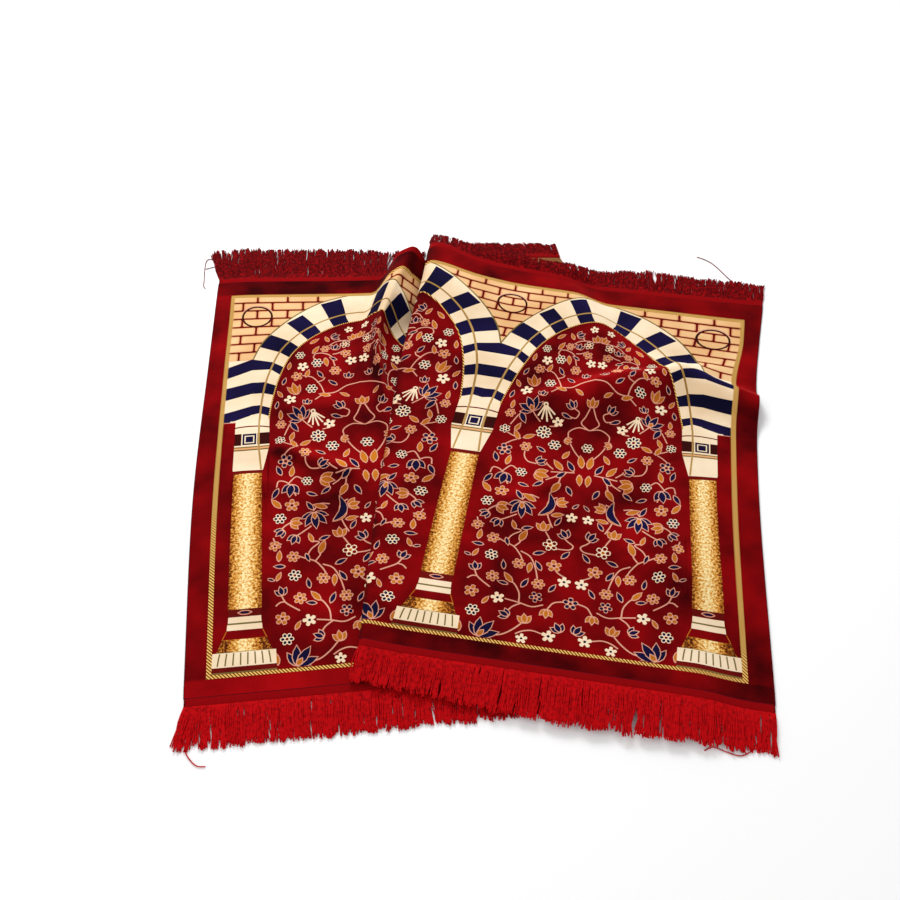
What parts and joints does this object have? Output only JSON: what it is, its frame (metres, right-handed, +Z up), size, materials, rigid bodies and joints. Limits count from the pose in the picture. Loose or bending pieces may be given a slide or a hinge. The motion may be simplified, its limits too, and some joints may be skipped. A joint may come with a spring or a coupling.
{
  "type": "folded prayer rug",
  "caption": "Wide velour prayer rug with a row of arches, lying on the floor in one loose Z fold, with a fringe along its front and back edges.",
  "frame": {"origin": "middle of the whole rug's footprint, on the floor under it", "axes": "+Z up, +Y towards the back fringe, +X towards the end that is turned back over the rest"},
  "size_m": [1.3073, 1.3287, 0.0891],
  "materials": {
    "pile_red": "cut velour pile",
    "yarn_red": "loose twisted yarn"
  },
  "bodies": {
    "root": {"rug_cloth": "pile_red", "fringe_front": "yarn_red", "fringe_back": "yarn_red"}
  },
  "joints": []
}
